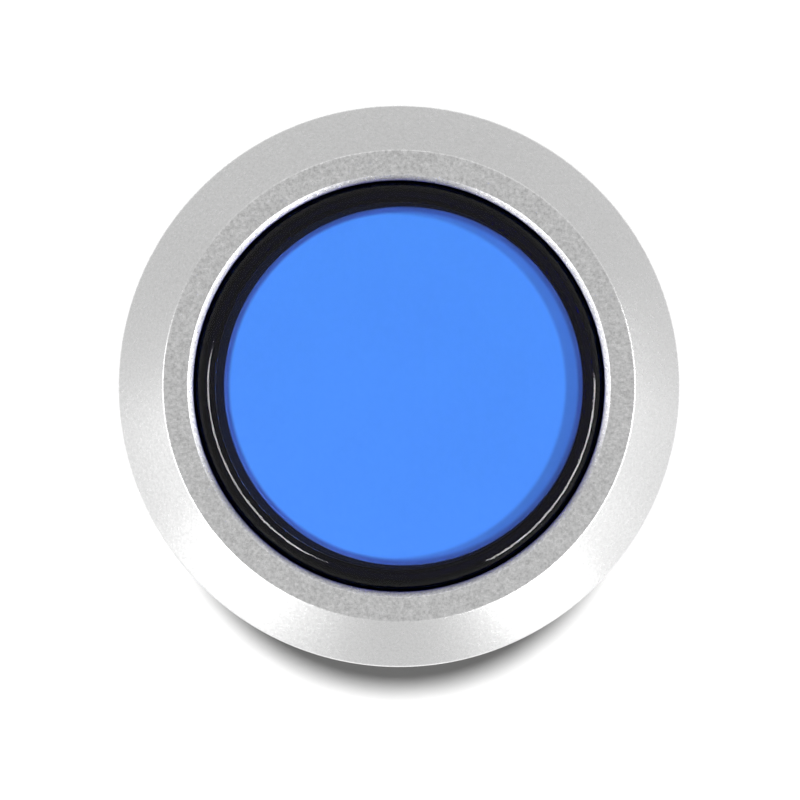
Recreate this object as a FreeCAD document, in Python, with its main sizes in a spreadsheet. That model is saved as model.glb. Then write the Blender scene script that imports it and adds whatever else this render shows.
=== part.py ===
import FreeCAD, Part
import os
import re
import Sketcher
from FreeCAD import Placement, Rotation, Vector

# Driving sizes in millimetres and degrees. Fits and clearances are sizes of their own.
SIZES = {
    # Bezel ring and barrel
    "bore_dia": 24.2,
    "bore_chamfer": 0.35,
    "ring_width": 1.35,
    "bezel_height": 3.0,
    "bezel_lip": 0.9,
    "bezel_rim": 1.45,
    "bezel_edge": 0.15,
    "collar_wall": 1.1,
    "collar_height": 1.8,
    "flange_reach": 1.8,
    "flange_height": 1.0,
    "pilot_height": 1.5,
    "pilot_proud": 0.3,
    "barrel_wall": 1.5,
    "barrel_length": 30.0,
    "flat_depth": 0.65,
    "shelf_depth": 15.0,
    "shelf_thick": 1.6,
    "fit_gap": 0.05,
    "slide_gap": 0.2,
    "touch_gap": 0.05,
    # Ring nut
    "nut_gap": 0.4,
    "nut_wall": 2.2,
    "nut_height": 7.0,
    "nut_drop": 10.0,
    "nut_chamfer": 0.8,
    "scallop_dia": 4.4,
    "scallop_depth": 1.0,
    "scallop_count": 12,
    # Plunger
    "press_travel": 2.4,
    "cap_proud": 0.4,
    "cap_length": 9.4,
    "cap_roof": 1.8,
    "cap_wall": 1.1,
    "cap_round": 1.0,
    "diffuser_thick": 0.8,
    "diffuser_gap": 0.3,
    "diffuser_shift": 0.27,
    "sleeve_wall": 1.2,
    "shoulder_thick": 1.5,
    "guide_wall": 1.2,
    "hook_angle": 34.0,
    "hook_margin": 4.0,
    "hook_reach": 1.2,
    "hook_face": 0.8,
    "hook_length": 2.0,
    "hook_gap": 0.1,
    "foot_width": 3.0,
    "foot_thick": 2.6,
    "foot_gap": 0.3,
    # Return spring
    "wire_dia": 0.8,
    "spring_gap": 0.25,
    "spring_clear": 1.05,
    "spring_turns": 3.5,
    # Lamp holder with its bayonet
    "holder_gap": 0.1,
    "holder_flange": 2.0,
    "floor_thick": 2.4,
    "plug_depth": 6.0,
    "plug_wall": 1.4,
    "grip_dia": 5.0,
    "grip_depth": 0.9,
    "grip_count": 8,
    "lug_angle": 16.0,
    "lug_reach": 1.2,
    "lug_height": 2.1,
    "lug_lift": 1.5,
    "lug_margin": 2.0,
    "lock_angle": 30.0,
    "bracket_thick": 1.7,
    "rib_thick": 1.2,
    "rib_reach": 4.4,
    "rib_drop": 8.0,
    "peg_dia": 2.25,
    "peg_spacing": 9.5,
    "peg_rise": 1.8,
    "peg_proud": 0.5,
    # Lamp and its terminals
    "lamp_shift": 1.6,
    "wedge_width": 9.4,
    "wedge_thick": 5.2,
    "wedge_lift": 0.3,
    "socket_height": 10.6,
    "socket_wall": 1.5,
    "lamp_collar_dia": 9.2,
    "lamp_collar_height": 3.5,
    "lens_dia": 8.0,
    "lens_height": 6.0,
    "lens_edge": 0.8,
    "lead_dia": 0.5,
    "lead_proud": 0.2,
    "lead_drop": 1.0,
    "resistor_dia": 1.8,
    "resistor_length": 4.2,
    "resistor_gap": 0.2,
    "resistor_wire": 0.5,
    "resistor_rise": 5.3,
    "tab_thick": 0.5,
    "tab_width": 2.8,
    "tab_chamfer": 0.6,
    "tab_hole": 1.3,
    "tab_hole_rise": 2.2,
    "lamp_tab_length": 9.0,
    "lamp_tab_top": 0.6,
    # Switch
    "switch_drop": 4.8,
    "switch_shift": 5.8,
    "switch_length": 19.8,
    "switch_thick": 6.4,
    "cover_height": 6.6,
    "cover_wall": 0.8,
    "cover_roof": 1.0,
    "cover_round": 0.5,
    "base_height": 3.6,
    "base_step": 0.7,
    "switch_tab_length": 6.5,
    "pivot_inset": 1.3,
    "pivot_rise": 0.8,
    "pivot_dia": 0.7,
    "pivot_gap": 0.1,
    "ear_half": 0.9,
    "ear_thick": 0.8,
    "ear_gap": 0.3,
    "lever_angle": 12.0,
    "lever_lift": 0.1,
    "lever_thick": 0.3,
    "lever_width": 3.6,
    "lever_length": 14.8,
    "lever_tail": 0.35,
    "foot_reach": 11.5,
    "button_reach": 3.6,
    "button_dia": 1.8,
    "button_tip": 0.6,
    "button_slope": 0.4,
    "button_collar": 3.0,
    "button_collar_thick": 0.7,
    "button_stem": 1.6,
    "tab_inset": 1.4,
    "open_tab_shift": 0.8,
    "arm_gap": 0.1,
    "contact_inset": 3.4,
    "contact_dia": 2.2,
    "contact_thick": 0.5,
    "contact_head": 0.55,
    "contact_shank": 1.1,
    "contact_travel": 0.5,
    "blade_thick": 0.2,
    "blade_width": 3.0,
    "blade_margin": 0.2,
    "window_width": 1.1,
    "window_inset": 3.4,
    "tongue_width": 0.8,
    "tongue_sag": 1.1,
    "tongue_rise": 0.3,
}

# Largest difference between the size of an edge and the size it is looked for by
EDGE_MATCH = 0.01

# Radii from the button's axis
BORE_R = "(bore_dia / 2)"
COLLAR_R = f"({BORE_R} + collar_wall)"
FLANGE_R = f"({COLLAR_R} + flange_reach)"
BEZEL_R = f"({FLANGE_R} + fit_gap + bezel_rim)"
CONE_R = f"({BORE_R} + bore_chamfer + ring_width)"
BARREL_R = f"({BORE_R} + barrel_wall)"
PILOT_R = f"({BARREL_R} + pilot_proud)"
NUT_BORE_R = f"({BARREL_R} + nut_gap)"
NUT_R = f"({NUT_BORE_R} + nut_wall)"
CAP_R = f"({BORE_R} - slide_gap)"
CAP_INNER_R = f"({CAP_R} - cap_wall)"
SLEEVE_R = f"({CAP_INNER_R} - fit_gap)"
GUIDE_R = f"({BORE_R} - spring_clear - wire_dia - spring_gap)"
GUIDE_INNER_R = f"({GUIDE_R} - guide_wall)"
SHELF_R = f"({GUIDE_INNER_R} + slide_gap)"
SPRING_R = f"({GUIDE_R} + spring_gap + wire_dia / 2)"
PLUG_R = f"({BORE_R} - holder_gap)"
HOLDER_R = f"({BARREL_R} - holder_gap)"

# Heights above the panel face, from the top down
CAP_TOP = "(bezel_height + cap_proud)"
DIFFUSER_TOP = f"({CAP_TOP} - cap_roof)"
DIFFUSER_LOW = f"({DIFFUSER_TOP} - diffuser_thick)"
CAP_LOW = f"({CAP_TOP} - cap_length)"
SHOULDER_LOW = f"({CAP_LOW} - shoulder_thick)"
SHELF_TOP = "(-shelf_depth)"
SHELF_LOW = "(-shelf_depth - shelf_thick)"
GUIDE_LOW = f"({SHELF_TOP} + press_travel + slide_gap)"
HOOK_TOP = f"({SHELF_LOW} - hook_gap)"
HOOK_LOW = f"({HOOK_TOP} - hook_length)"
PILOT_LOW = "(-pilot_height)"
NUT_TOP = "(-nut_drop)"
NUT_LOW = "(-nut_drop - nut_height)"
BARREL_LOW = "(-barrel_length)"
PLUG_TOP = f"({BARREL_LOW} + plug_depth)"
LUG_LOW = f"({BARREL_LOW} + lug_lift)"
LUG_TOP = f"({LUG_LOW} + lug_height)"
HOLDER_LOW = f"({BARREL_LOW} - holder_flange)"
FLOOR_TOP = f"({HOLDER_LOW} + floor_thick)"
SOCKET_TOP = f"({FLOOR_TOP} + socket_height)"
WEDGE_LOW = f"({FLOOR_TOP} + wedge_lift)"
LAMP_COLLAR_TOP = f"({SOCKET_TOP} + lamp_collar_height)"
LENS_TOP = f"({LAMP_COLLAR_TOP} + lens_height)"
SWITCH_TOP = f"({HOLDER_LOW} - switch_drop)"
PARTING = f"({SWITCH_TOP} - cover_height)"
SWITCH_LOW = f"({PARTING} - base_height)"
PEG_Z = f"({SWITCH_LOW} + peg_rise)"
PIVOT_Z = f"({SWITCH_TOP} + pivot_rise)"
SWITCH_TAB_LOW = f"({SWITCH_LOW} - switch_tab_length)"

# Heights inside the switch, each resting on the one above it
ROOF_LOW = f"({SWITCH_TOP} - cover_roof)"
CLOSED_ARM_TOP = f"({ROOF_LOW} - arm_gap)"
CLOSED_ARM_LOW = f"({CLOSED_ARM_TOP} - tab_thick)"
CLOSED_CONTACT_LOW = f"({CLOSED_ARM_LOW} - contact_thick)"
MOVING_TOP = f"({CLOSED_CONTACT_LOW} - touch_gap)"
BLADE_TOP = f"({MOVING_TOP} - contact_head)"
BLADE_LOW = f"({BLADE_TOP} - blade_thick)"
MOVING_LOW = f"({BLADE_LOW} - contact_head)"
OPEN_CONTACT_TOP = f"({MOVING_LOW} - contact_travel - touch_gap)"
OPEN_ARM_TOP = f"({OPEN_CONTACT_TOP} - contact_thick)"
OPEN_ARM_LOW = f"({OPEN_ARM_TOP} - tab_thick)"

# Places along X and Y
LAMP_Y = "(-lamp_shift)"
TAB_IN_X = "(wedge_width / 2 + lead_proud + fit_gap)"
TAB_OUT_X = f"({TAB_IN_X} + tab_thick)"
POCKET_HALF_X = f"({TAB_OUT_X} + fit_gap)"
POCKET_HALF_Y = "(wedge_thick / 2 + holder_gap)"
LEAD_X = "(wedge_width / 2 + lead_proud - lead_dia / 2)"
SWITCH_BACK_Y = "(switch_shift - switch_thick / 2)"
SWITCH_FRONT_Y = "(switch_shift + switch_thick / 2)"
PIVOT_X = "(pivot_inset - switch_length / 2)"
FOOT_X = f"({PIVOT_X} + foot_reach)"
BUTTON_X = f"({PIVOT_X} + button_reach)"
CONTACT_X = "(switch_length / 2 - contact_inset)"
OUTER_TAB_X = "(switch_length / 2 - tab_inset)"

# Where the resting lever meets the plunger's foot above it and the switch button below it
FOOT_LOW = (
    f"({PIVOT_Z} + (foot_reach + foot_width / 2) * tan(lever_angle)"
    " + (lever_lift + lever_thick) / cos(lever_angle) + touch_gap)"
)
BUTTON_TOP = (
    f"({PIVOT_Z} + (button_reach - button_tip / 2) * tan(lever_angle)"
    " + lever_lift / cos(lever_angle) - touch_gap)"
)

doc = FreeCAD.newDocument("arcade_button")
sheet = doc.addObject("Spreadsheet::Sheet", "Sizes")
parts = []


def fill_sheet():
    """Writes every size into the sheet under its own name."""
    for row, (name, size) in enumerate(SIZES.items(), 1):
        sheet.set(f"A{row}", name)
        sheet.set(f"B{row}", str(size))
        sheet.setAlias(f"B{row}", name)
    doc.recompute()


def bound(text):
    """Returns an expression that reads each named size from the sheet."""
    return re.sub(r"[a-z_]+", lambda word: f"Sizes.{word[0]}" if word[0] in SIZES else word[0], text)


def value(text):
    """Returns an expression's present number."""
    return float(sheet.evalExpression(text))


def new_body(label, x="0", y="0", z="0"):
    """Starts a named sub-part whose own origin is at the given place."""
    body = doc.addObject("PartDesign::Body", label)
    body.Label = label
    body.Placement = Placement(Vector(value(x), value(y), value(z)), Rotation())
    for axis, text in zip("xyz", (x, y, z)):
        body.setExpression(f"Placement.Base.{axis}", bound(text))
    parts.append(body)
    return body


def origin_item(body, role):
    """Returns one of the body's own origin planes or axes."""
    return next(item for item in body.Origin.OriginFeatures if item.Role == role)


def hold_point(sketch, line, point, place):
    """Ties a sketch point to two expressions, counted from the sketch's origin."""
    for kind, axis, text in (("DistanceX", -2, place[0]), ("DistanceY", -1, place[1])):
        if text == "0":
            sketch.addConstraint(Sketcher.Constraint("PointOnObject", line, point, axis))
        else:
            rule = Sketcher.Constraint(kind, -1, 1, line, point, value(text))
            number = sketch.addConstraint(rule)
            sketch.setExpression(f"Constraints[{number}]", bound(text))


def draw_outline(sketch, corners):
    """Draws a closed outline through corners."""
    spots = [Vector(value(x), value(y), 0) for x, y in corners]
    following = spots[1:] + spots[:1]
    lines = [sketch.addGeometry(Part.LineSegment(*ends)) for ends in zip(spots, following)]
    for line, after in zip(lines, lines[1:] + lines[:1]):
        sketch.addConstraint(Sketcher.Constraint("Coincident", line, 2, after, 1))
    for line, corner in zip(lines, corners):
        hold_point(sketch, line, 1, corner)


def draw_circle(sketch, x, y, dia):
    """Draws a circle of a bound diameter."""
    ring = Part.Circle(Vector(value(x), value(y), 0), Vector(0, 0, 1), value(dia) / 2)
    line = sketch.addGeometry(ring)
    hold_point(sketch, line, 3, (x, y))
    number = sketch.addConstraint(Sketcher.Constraint("Diameter", line, value(dia)))
    sketch.setExpression(f"Constraints[{number}]", bound(dia))


def add_sketch(body, plane, outlines, lift="0", turn="0"):
    """Sketches corner lists and (x, y, diameter) circles on a plane that may be lifted and turned."""
    sketch = body.newObject("Sketcher::SketchObject", f"{body.Label}_outline")
    sketch.AttachmentSupport = (origin_item(body, f"{plane}_Plane"), [""])
    sketch.MapMode = "FlatFace"
    turning = Rotation(Vector(0, 1, 0), value(turn))
    sketch.AttachmentOffset = Placement(Vector(0, 0, value(lift)), turning)
    if lift != "0":
        sketch.setExpression("AttachmentOffset.Base.z", bound(lift))
    if turn != "0":
        sketch.setExpression("AttachmentOffset.Rotation.Angle", bound(turn))
    for outline in outlines:
        if isinstance(outline, tuple):
            draw_circle(sketch, *outline)
        else:
            draw_outline(sketch, outline)
    return sketch


def block(body, plane, outlines, low, high, cut=False):
    """Pads or pockets outlines between two places on the axis square to their plane."""
    backward = plane == "XZ"
    start = high if cut != backward else low
    kind = "Pocket" if cut else "Pad"
    sketch = add_sketch(body, plane, outlines, lift=f"-{start}" if backward else start)
    feature = body.newObject(f"PartDesign::{kind}", f"{body.Label}_block")
    feature.Profile = sketch
    feature.setExpression("Length", bound(f"{high} - {low}"))
    return feature


def turned(body, corners, turn="0", sweep=None, cut=False):
    """Revolves or grooves a half section of (radius, height) corners about the body's upright axis."""
    kind = "Groove" if cut else "Revolution"
    sketch = add_sketch(body, "XZ", [corners], turn=turn)
    feature = body.newObject(f"PartDesign::{kind}", f"{body.Label}_turn")
    feature.Profile = sketch
    feature.ReferenceAxis = (sketch, ["V_Axis"])
    if sweep:
        feature.Midplane = True
        feature.setExpression("Angle", bound(sweep))
    return feature


def around(body, feature, count):
    """Repeats a feature evenly about the body's upright axis."""
    doc.recompute()
    pattern = body.newObject("PartDesign::PolarPattern", f"{body.Label}_pattern")
    pattern.Originals = [feature]
    pattern.Axis = (origin_item(body, "Z_Axis"), [""])
    pattern.Angle = 360
    pattern.setExpression("Occurrences", bound(count))
    body.Tip = pattern


def ease_edges(body, kind, size, chosen):
    """Fillets or chamfers the edges of the body's newest feature that pass the given test."""
    doc.recompute()
    base = body.Tip
    names = [f"Edge{number}" for number, edge in enumerate(base.Shape.Edges, 1) if chosen(edge)]
    feature = body.newObject(f"PartDesign::{kind}", f"{body.Label}_edge")
    feature.Base = (base, names)
    feature.setExpression("Radius" if kind == "Fillet" else "Size", bound(size))


def is_ring(edge, radius, height):
    """Tells whether an edge is the full circle of that radius at that height."""
    box = edge.BoundBox
    misses = (box.XLength / 2 - value(radius), box.ZMin - value(height))
    return all(abs(miss) < EDGE_MATCH for miss in misses)


def is_upright(edge):
    """Tells whether an edge runs straight up."""
    box = edge.BoundBox
    return max(box.XLength, box.YLength) < EDGE_MATCH


def rectangle(x_low, y_low, x_high, y_high):
    """Returns the corners of a rectangle."""
    return [(x_low, y_low), (x_high, y_low), (x_high, y_high), (x_low, y_high)]


def middle_rectangle(x, y, half_x, half_y):
    """Returns the corners of a rectangle about a middle point."""
    return rectangle(f"{x} - {half_x}", f"{y} - {half_y}", f"{x} + {half_x}", f"{y} + {half_y}")


def build_bezel_ring():
    """Metal ring with a conical flank, a flat face ring and a chamfered bore."""
    body = new_body("bezel_ring")
    turned(body, [
        (BORE_R, "collar_height"),
        (f"{COLLAR_R} + fit_gap", "collar_height"),
        (f"{COLLAR_R} + fit_gap", "flange_height"),
        (f"{FLANGE_R} + fit_gap", "flange_height"),
        (f"{FLANGE_R} + fit_gap", "0"),
        (BEZEL_R, "0"),
        (BEZEL_R, "bezel_lip"),
        (CONE_R, "bezel_height"),
        (f"{BORE_R} + bore_chamfer", "bezel_height"),
        (BORE_R, "bezel_height - bore_chamfer"),
    ])
    ease_edges(body, "Chamfer", "bezel_edge", lambda edge: is_ring(edge, CONE_R, "bezel_height")
               or is_ring(edge, BEZEL_R, "bezel_lip"))


def build_barrel_housing():
    """Barrel with a flange, a pilot for the panel's hole, a spring shelf, flats and bayonet slots."""
    body = new_body("barrel_housing")
    turned(body, [
        (BORE_R, "collar_height"),
        (COLLAR_R, "collar_height"),
        (COLLAR_R, "flange_height"),
        (FLANGE_R, "flange_height"),
        (FLANGE_R, "0"),
        (PILOT_R, "0"),
        (PILOT_R, PILOT_LOW),
        (BARREL_R, PILOT_LOW),
        (BARREL_R, BARREL_LOW),
        (BORE_R, BARREL_LOW),
        (BORE_R, SHELF_LOW),
        (SHELF_R, SHELF_LOW),
        (SHELF_R, SHELF_TOP),
        (BORE_R, SHELF_TOP),
    ])
    window = turned(body, rectangle(f"{SHELF_R} - slide_gap", f"{SHELF_LOW} - slide_gap",
                                    f"{GUIDE_R} + slide_gap", f"{SHELF_TOP} + slide_gap"),
                    sweep="hook_angle + hook_margin", cut=True)
    around(body, window, "2")
    flat = block(body, "XY", [rectangle(f"{BARREL_R} - flat_depth", f"-{BARREL_R}",
                                        f"{BARREL_R} + flat_depth", BARREL_R)],
                 BARREL_LOW, PILOT_LOW, cut=True)
    around(body, flat, "2")
    inner, outer = f"{BORE_R} - flat_depth", f"{BARREL_R} + flat_depth"
    entry = turned(body, rectangle(inner, f"{BARREL_LOW} - holder_gap", outer, f"{LUG_TOP} + holder_gap"),
                   turn="90 - lock_angle", sweep="lug_angle + lug_margin", cut=True)
    around(body, entry, "2")
    run = turned(body, rectangle(inner, f"{LUG_LOW} - holder_gap", outer, f"{LUG_TOP} + holder_gap"),
                 turn="90 - lock_angle / 2", sweep="lock_angle + lug_angle + lug_margin", cut=True)
    around(body, run, "2")


def build_ring_nut():
    """Round nut with scalloped grips."""
    body = new_body("ring_nut")
    turned(body, [
        (NUT_BORE_R, f"{NUT_LOW} + nut_chamfer / 2"),
        (f"{NUT_BORE_R} + nut_chamfer / 2", NUT_LOW),
        (f"{NUT_R} - nut_chamfer", NUT_LOW),
        (NUT_R, f"{NUT_LOW} + nut_chamfer"),
        (NUT_R, f"{NUT_TOP} - nut_chamfer"),
        (f"{NUT_R} - nut_chamfer", NUT_TOP),
        (f"{NUT_BORE_R} + nut_chamfer / 2", NUT_TOP),
        (NUT_BORE_R, f"{NUT_TOP} - nut_chamfer / 2"),
    ])
    scallop = block(body, "XY", [(f"{NUT_R} + scallop_dia / 2 - scallop_depth", "0", "scallop_dia")],
                    NUT_LOW, NUT_TOP, cut=True)
    around(body, scallop, "scallop_count")


def build_plunger_cap():
    """Cup-shaped cap whose edge is rounded."""
    body = new_body("plunger_cap")
    turned(body, [
        (CAP_INNER_R, CAP_LOW),
        (CAP_R, CAP_LOW),
        (CAP_R, CAP_TOP),
        ("0", CAP_TOP),
        ("0", DIFFUSER_TOP),
        (CAP_INNER_R, DIFFUSER_TOP),
    ])
    ease_edges(body, "Fillet", "cap_round", lambda edge: is_ring(edge, CAP_R, CAP_TOP))


def build_diffuser_disc():
    """Thin disc between the cap's roof and the carrier's sleeve, pushed to one side of its recess."""
    body = new_body("diffuser_disc", x="diffuser_shift")
    block(body, "XY", [("0", "0", f"2 * ({CAP_INNER_R} - diffuser_gap)")], DIFFUSER_LOW, DIFFUSER_TOP)


def build_plunger_carrier():
    """Sleeve, shoulder and guide of the plunger with two hooked legs and the foot that works the switch."""
    body = new_body("plunger_carrier")
    turned(body, [
        (f"{SLEEVE_R} - sleeve_wall", DIFFUSER_LOW),
        (SLEEVE_R, DIFFUSER_LOW),
        (SLEEVE_R, CAP_LOW),
        (CAP_R, CAP_LOW),
        (CAP_R, SHOULDER_LOW),
        (GUIDE_R, SHOULDER_LOW),
        (GUIDE_R, GUIDE_LOW),
        (GUIDE_INNER_R, GUIDE_LOW),
        (GUIDE_INNER_R, CAP_LOW),
        (f"{SLEEVE_R} - sleeve_wall", CAP_LOW),
    ])
    leg = turned(body, [
        (GUIDE_INNER_R, SHOULDER_LOW),
        (GUIDE_R, SHOULDER_LOW),
        (GUIDE_R, HOOK_TOP),
        (f"{GUIDE_R} + hook_reach", HOOK_TOP),
        (f"{GUIDE_R} + hook_reach", f"{HOOK_TOP} - hook_face"),
        (GUIDE_R, HOOK_LOW),
        (GUIDE_INNER_R, HOOK_LOW),
    ], sweep="hook_angle")
    around(body, leg, "2")
    left, right = f"{FOOT_X} - foot_width / 2", f"{FOOT_X} + foot_width / 2"
    back, front = "switch_shift - foot_thick / 2", "switch_shift + foot_thick / 2"
    block(body, "XY", [rectangle(left, back, right, front)], FOOT_LOW, SHOULDER_LOW)
    block(body, "XY", [rectangle(left, back, right, GUIDE_INNER_R)], GUIDE_LOW, SHOULDER_LOW)


def build_return_spring():
    """Wire of six-sided section coiled between the barrel's shelf and the plunger's shoulder."""
    body = new_body("return_spring")
    half_height = "(wire_dia / 2 * sin(60))"
    section = [(f"{SPRING_R} + wire_dia / 2 * cos({turn})",
                f"{SHELF_TOP} + {half_height} + wire_dia / 2 * sin({turn})") for turn in range(0, 360, 60)]
    sketch = add_sketch(body, "XZ", [section])
    coil = body.newObject("PartDesign::AdditiveHelix", "return_spring_coil")
    coil.Profile = sketch
    coil.ReferenceAxis = (sketch, ["V_Axis"])
    coil.Mode = "height-turns-angle"
    coil.setExpression("Height", bound(f"{SHOULDER_LOW} - {SHELF_TOP} - 2 * {half_height}"))
    coil.setExpression("Turns", bound("spring_turns"))


def build_lamp_holder():
    """Bayonet plug that carries the lamp socket above its floor and the switch bracket below it."""
    body = new_body("lamp_holder")
    turned(body, [
        ("0", HOLDER_LOW),
        (HOLDER_R, HOLDER_LOW),
        (HOLDER_R, BARREL_LOW),
        (PLUG_R, BARREL_LOW),
        (PLUG_R, PLUG_TOP),
        (f"{PLUG_R} - plug_wall", PLUG_TOP),
        (f"{PLUG_R} - plug_wall", FLOOR_TOP),
        ("0", FLOOR_TOP),
    ])
    grip = block(body, "XY", [(f"{HOLDER_R} + grip_dia / 2 - grip_depth", "0", "grip_dia")],
                 HOLDER_LOW, BARREL_LOW, cut=True)
    around(body, grip, "grip_count")
    lug = turned(body, rectangle(f"{PLUG_R} - plug_wall / 2", LUG_LOW, f"{BORE_R} + lug_reach", LUG_TOP),
                 turn="90", sweep="lug_angle")
    around(body, lug, "2")
    socket = middle_rectangle("0", LAMP_Y, f"({POCKET_HALF_X} + socket_wall)",
                              f"({POCKET_HALF_Y} + socket_wall)")
    block(body, "XY", [socket], f"({FLOOR_TOP} - floor_thick / 2)", SOCKET_TOP)
    block(body, "XY", [middle_rectangle("0", LAMP_Y, POCKET_HALF_X, POCKET_HALF_Y)],
          FLOOR_TOP, SOCKET_TOP, cut=True)
    back = f"{LAMP_Y} - tab_width / 2 - fit_gap"
    front = f"{LAMP_Y} + tab_width / 2 + fit_gap"
    slots = [
        rectangle(f"{TAB_IN_X} - fit_gap", back, POCKET_HALF_X, front),
        rectangle(f"-{POCKET_HALF_X}", back, f"fit_gap - {TAB_IN_X}", front),
        middle_rectangle(FOOT_X, "switch_shift", "(foot_width / 2 + foot_gap)",
                         "(foot_thick / 2 + foot_gap)"),
    ]
    block(body, "XY", slots, HOLDER_LOW, FLOOR_TOP, cut=True)
    bracket_back = f"({SWITCH_BACK_Y} - bracket_thick)"
    block(body, "XY", [rectangle("-switch_length / 2", bracket_back, "switch_length / 2", SWITCH_BACK_Y)],
          SWITCH_LOW, f"({HOLDER_LOW} + floor_thick / 2)")
    block(body, "YZ", [[(bracket_back, HOLDER_LOW), (f"{bracket_back} - rib_reach", HOLDER_LOW),
                        (bracket_back, f"{HOLDER_LOW} - rib_drop")]],
          "(-rib_thick / 2)", "(rib_thick / 2)")
    pegs = [(f"{side} * peg_spacing / 2", PEG_Z, "peg_dia") for side in (-1, 1)]
    block(body, "XZ", pegs, f"({SWITCH_BACK_Y} - bracket_thick / 2)", f"({SWITCH_FRONT_Y} + peg_proud)")


def build_lamp_base():
    """Wedge base with a round collar, side grooves for the leads and a recess for the resistor."""
    body = new_body("lamp_base", y=LAMP_Y)
    block(body, "XY", [("0", "0", "lamp_collar_dia")], SOCKET_TOP, LAMP_COLLAR_TOP)
    wedge = middle_rectangle("0", "0", "wedge_width / 2", "wedge_thick / 2")
    block(body, "XY", [wedge], WEDGE_LOW, SOCKET_TOP)
    grooves = [(f"{side} * {LEAD_X}", "0", "lead_dia + 2 * fit_gap") for side in (-1, 1)]
    block(body, "XY", grooves, WEDGE_LOW, f"({SOCKET_TOP} - lead_drop)", cut=True)
    recess = middle_rectangle("0", f"({WEDGE_LOW} + resistor_rise)",
                              "(resistor_length / 2 + resistor_wire)", "(resistor_dia / 2 + resistor_gap)")
    block(body, "XZ", [recess], "(-wedge_thick / 2)", "(resistor_dia - wedge_thick / 2)", cut=True)


def build_led_lens():
    """Light-emitting diode's flat-topped lens."""
    body = new_body("led_lens", y=LAMP_Y)
    turned(body, [
        ("0", LAMP_COLLAR_TOP),
        ("lens_dia / 2", LAMP_COLLAR_TOP),
        ("lens_dia / 2", f"{LENS_TOP} - lens_edge"),
        ("lens_dia / 2 - lens_edge", LENS_TOP),
        ("0", LENS_TOP),
    ])


def build_lamp_leads():
    """Two bare wires in the side grooves of the lamp base."""
    body = new_body("lamp_leads", y=LAMP_Y)
    wires = [(f"{side} * {LEAD_X}", "0", "lead_dia") for side in (-1, 1)]
    block(body, "XY", wires, WEDGE_LOW, f"({SOCKET_TOP} - lead_drop)")


def build_lamp_resistor():
    """Series resistor lying across the lamp base."""
    body = new_body("lamp_resistor", y=f"{LAMP_Y} - wedge_thick / 2 + resistor_dia / 2",
                    z=f"{WEDGE_LOW} + resistor_rise")
    body.Placement.Rotation = Rotation(Vector(0, 1, 0), 90)
    end = "(resistor_length / 2 + resistor_wire)"
    turned(body, [
        ("0", end),
        ("resistor_wire / 2", end),
        ("resistor_wire / 2", "resistor_length / 2"),
        ("resistor_dia / 2", "resistor_length / 2"),
        ("resistor_dia / 2", "-resistor_length / 2"),
        ("resistor_wire / 2", "-resistor_length / 2"),
        ("resistor_wire / 2", f"-{end}"),
        ("0", f"-{end}"),
    ])


def tab_outline(y, low, high):
    """Returns the outlines of a strip whose lower end is a chamfered tab with a hole."""
    left, right = f"{y} - tab_width / 2", f"{y} + tab_width / 2"
    strip = [
        (left, high),
        (left, f"{low} + tab_chamfer"),
        (f"{left} + tab_chamfer", low),
        (f"{right} - tab_chamfer", low),
        (right, f"{low} + tab_chamfer"),
        (right, high),
    ]
    return [strip, (y, f"{low} + tab_hole_rise", "tab_hole")]


def build_lamp_terminals():
    """Two strips that run from beside the lamp's leads to tabs below the holder."""
    outline = tab_outline(LAMP_Y, f"({HOLDER_LOW} - lamp_tab_length)", f"({SOCKET_TOP} - lamp_tab_top)")
    left = new_body("lamp_terminal_left")
    block(left, "YZ", outline, f"(-{TAB_OUT_X})", f"(-{TAB_IN_X})")
    right = new_body("lamp_terminal_right")
    block(right, "YZ", outline, TAB_IN_X, TAB_OUT_X)


def build_switch_base():
    """Lower half of the switch, slotted for its terminals and pierced for the bracket's pegs."""
    body = new_body("switch_base", y="switch_shift")
    outside = middle_rectangle("0", "0", "switch_length / 2", "switch_thick / 2")
    block(body, "XY", [outside], SWITCH_LOW, PARTING)
    ease_edges(body, "Fillet", "cover_round", is_upright)
    step = middle_rectangle("0", "0", "(switch_length / 2 - cover_wall - fit_gap)",
                            "(switch_thick / 2 - cover_wall - fit_gap)")
    block(body, "XY", [step], f"({PARTING} - base_step)", f"({PARTING} + base_step)")
    slots = [middle_rectangle(x, "0", "(tab_thick / 2 + fit_gap)", "(tab_width / 2 + fit_gap)")
             for x in (f"-{OUTER_TAB_X}", "open_tab_shift", OUTER_TAB_X)]
    block(body, "XY", slots, SWITCH_LOW, f"({PARTING} + base_step)", cut=True)
    holes = [(f"{side} * peg_spacing / 2", PEG_Z, "peg_dia + 2 * fit_gap") for side in (-1, 1)]
    block(body, "XZ", holes, "(-switch_thick / 2)", "(switch_thick / 2)", cut=True)


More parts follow.
